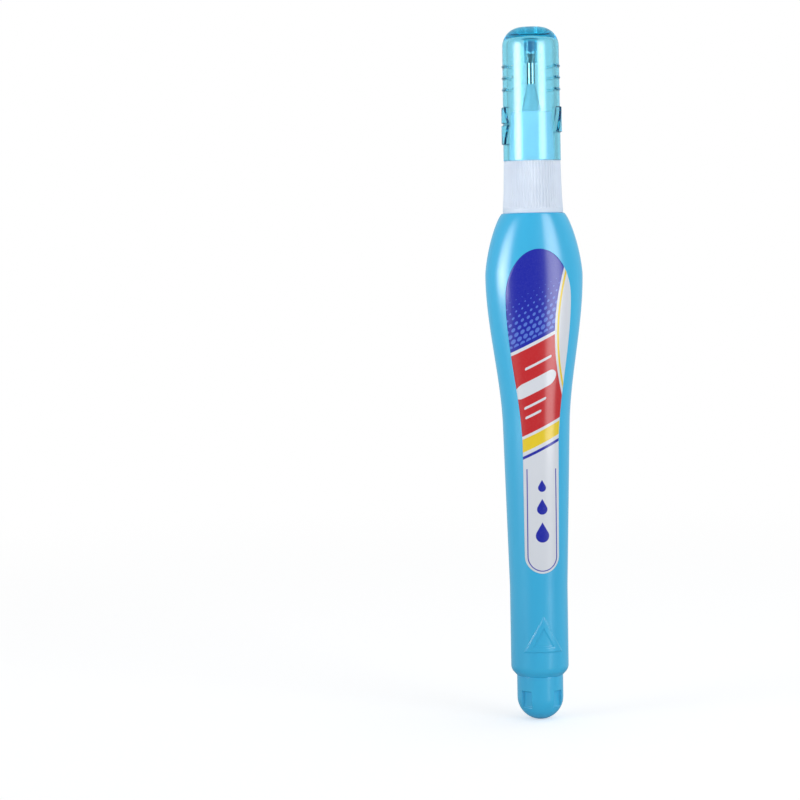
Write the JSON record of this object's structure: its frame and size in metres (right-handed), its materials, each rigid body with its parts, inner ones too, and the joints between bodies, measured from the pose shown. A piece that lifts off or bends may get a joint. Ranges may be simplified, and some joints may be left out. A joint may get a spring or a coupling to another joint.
{
  "type": "correction pen",
  "caption": "Squeezable correction fluid pen with an oval barrel, ribbed collar, sprung needle valve in a metal tip, mixing ball and clear pull-off cap.",
  "frame": {"origin": "lowest point of the domed end, on the pen's axis", "axes": "+Z along the pen's axis towards the cap, -Y out of the front with the label, X across the wide way of the oval barrel"},
  "size_m": [0.0196, 0.0141, 0.1388],
  "materials": {
    "barrel_plastic": "smooth moulded sky blue, soft gloss",
    "label_film": "glossy printed film",
    "collar_plastic": "white moulded plastic",
    "tip_metal": "turned and polished",
    "needle_metal": "ground pin",
    "spring_wire": "drawn spring wire",
    "ball_steel": "polished ball",
    "cap_plastic": "clear tinted plastic"
  },
  "bodies": {
    "pen_body": {"barrel": "barrel_plastic", "end_plug": "barrel_plastic", "front_label": "label_film", "collar": "collar_plastic", "metal_tip": "tip_metal", "valve_spring": "spring_wire", "spring_seat": "collar_plastic"},
    "cap_body": {"cap": "cap_plastic"},
    "needle_body": {"valve_needle": "needle_metal"},
    "ball_body": {"mixing_ball": "ball_steel"}
  },
  "joints": [
    {"name": "cap_pull", "type": "slide", "parent": "pen_body", "child": "cap_body", "axis": [0, 0, 1], "range_m": [0, 0.03]},
    {"name": "needle_press", "type": "slide", "parent": "pen_body", "child": "needle_body", "axis": [0, 0, -1], "range_m": [0, 0.00045], "stiffness_N_per_m": 300, "springref_m": -0.001, "deforming": ["valve_spring"]},
    {"name": "ball_rattle", "type": "slide", "parent": "pen_body", "child": "ball_body", "axis": [0, 0, 1], "range_m": [0, 0.1]}
  ]
}
